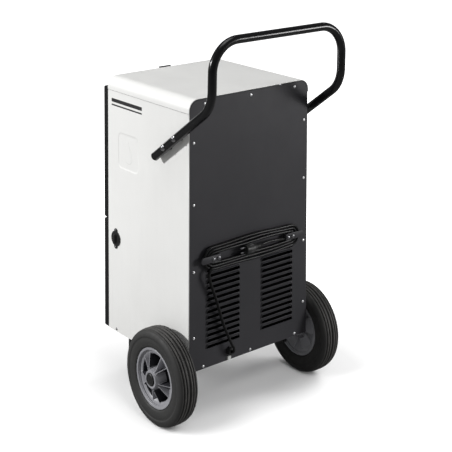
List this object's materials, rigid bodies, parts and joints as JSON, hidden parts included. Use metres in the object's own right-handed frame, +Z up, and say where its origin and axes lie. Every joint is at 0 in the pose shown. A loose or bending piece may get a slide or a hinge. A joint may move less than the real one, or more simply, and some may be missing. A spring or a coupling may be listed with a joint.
{
  "type": "commercial dehumidifier",
  "caption": "Wheeled upright dehumidifier: white steel cabinet, black front and rear panels, bent push bar, two rubber-tyred wheels, slide-out water tank and hooks for the mains cable.",
  "frame": {"origin": "on the floor, under the middle of the whole machine's box", "axes": "+Z up, the intake and the water tank face -Y, the push bar and the wheels are at +Y, the drain port is on the +X side"},
  "size_m": [0.628, 0.575, 1.1287],
  "materials": {
    "white_paint": "textured powder coat, satin",
    "anthracite_paint": "fine-textured powder coat",
    "black_paint": "gloss powder coat",
    "zinc_sheet": "galvanised",
    "bright_steel": "bright zinc plate",
    "black_plastic": "fine spark-eroded grain",
    "grey_plastic": "moulded, satin",
    "white_plastic": "moulded, satin",
    "clear_plastic": "clear",
    "lens": "polished",
    "lamp": "polished",
    "tyre_rubber": "matt",
    "black_rubber": "satin",
    "filter_foam": "open-cell mat",
    "copper": "drawn",
    "fin_aluminium": "bare"
  },
  "bodies": {
    "cabinet": {"base_pan": "zinc_sheet", "side_panel_left": "white_paint", "side_panel_right": "white_paint", "roof_cover": "white_paint", "rear_panel": "anthracite_paint", "fan_partition": "zinc_sheet", "divider_shelf": "zinc_sheet", "front_frame": "black_plastic", "control_bezel": "black_plastic", "display_lens": "lens", "status_lamps": "lamp", "controller_board": "black_plastic", "float_switch": "black_plastic", "drip_tray": "white_plastic", "drain_hose": "black_rubber", "drain_port": "black_plastic", "evaporator_fins": "fin_aluminium", "evaporator_coil": "copper", "condenser_fins": "fin_aluminium", "condenser_coil": "copper", "compressor": "black_paint", "compressor_grommets": "black_rubber", "refrigerant_pipes": "copper", "fan_motor": "zinc_sheet", "fan_bracket": "zinc_sheet", "run_capacitor": "white_plastic", "axle": "bright_steel", "axle_brackets": "black_paint", "wheel_spacers": "bright_steel", "axle_caps": "black_plastic", "handle_tube": "black_paint", "handle_end_caps": "black_plastic", "handle_bolts": "bright_steel", "handle_spacers": "bright_steel", "front_foot": "black_paint", "foot_pads": "black_rubber", "cable_hooks": "anthracite_paint", "power_cable": "black_rubber", "mains_plug": "black_rubber", "cable_gland": "black_plastic", "panel_screws": "bright_steel"},
    "wheel_left": {"tyre_left": "tyre_rubber", "rim_left": "grey_plastic"},
    "wheel_right": {"tyre_right": "tyre_rubber", "rim_right": "grey_plastic"},
    "fan": {"fan_rotor": "black_plastic", "fan_shaft": "bright_steel"},
    "tank": {"tank_front": "black_plastic", "tank_window": "clear_plastic", "tank_body": "white_plastic", "tank_lid": "white_plastic"},
    "bail": {"tank_bail": "bright_steel"},
    "float": {"water_float": "white_plastic"},
    "filter": {"filter_cassette": "black_plastic", "filter_mesh": "filter_foam"},
    "power_key": {"power_button": "grey_plastic"},
    "down_key": {"down_button": "grey_plastic"},
    "up_key": {"up_button": "grey_plastic"},
    "timer_key": {"timer_button": "grey_plastic"},
    "cap": {"drain_cap": "black_plastic"}
  },
  "joints": [
    {"name": "wheel_left_spin", "type": "hinge", "parent": "cabinet", "child": "wheel_left", "pos_m": [0.27, 0.0815, 0.1365], "axis": [1, 0, 0], "continuous": true},
    {"name": "wheel_right_spin", "type": "hinge", "parent": "cabinet", "child": "wheel_right", "pos_m": [-0.27, 0.0815, 0.1365], "axis": [1, 0, 0], "continuous": true},
    {"name": "fan_spin", "type": "hinge", "parent": "cabinet", "child": "fan", "pos_m": [0, -0.0345, 0.7065], "axis": [0, 1, 0], "continuous": true},
    {"name": "tank_slide", "type": "slide", "parent": "cabinet", "child": "tank", "axis": [0, -1, 0], "range_m": [0, 0.21]},
    {"name": "bail_swing", "type": "hinge", "parent": "tank", "child": "bail", "pos_m": [0, -0.2045, 0.4145], "axis": [1, 0, 0], "range_deg": [0, 90]},
    {"name": "float_rise", "type": "hinge", "parent": "tank", "child": "float", "pos_m": [-0.057, -0.1745, 0.3555], "axis": [1, 0, 0], "range_deg": [-20, 18]},
    {"name": "filter_slide", "type": "slide", "parent": "cabinet", "child": "filter", "axis": [0, 0, 1], "range_m": [0, 0.37]},
    {"name": "power_key_press", "type": "slide", "parent": "cabinet", "child": "power_key", "axis": [0, 1, 0], "range_m": [0, 0.0012], "stiffness_N_per_m": 800},
    {"name": "down_key_press", "type": "slide", "parent": "cabinet", "child": "down_key", "axis": [0, 1, 0], "range_m": [0, 0.0012], "stiffness_N_per_m": 800},
    {"name": "up_key_press", "type": "slide", "parent": "cabinet", "child": "up_key", "axis": [0, 1, 0], "range_m": [0, 0.0012], "stiffness_N_per_m": 800},
    {"name": "timer_key_press", "type": "slide", "parent": "cabinet", "child": "timer_key", "axis": [0, 1, 0], "range_m": [0, 0.0012], "stiffness_N_per_m": 800},
    {"name": "drain_cap_turn", "type": "hinge", "parent": "cabinet", "child": "cap", "pos_m": [0.225, -0.2155, 0.4415], "axis": [1, 0, 0], "range_deg": [0, 90]}
  ]
}
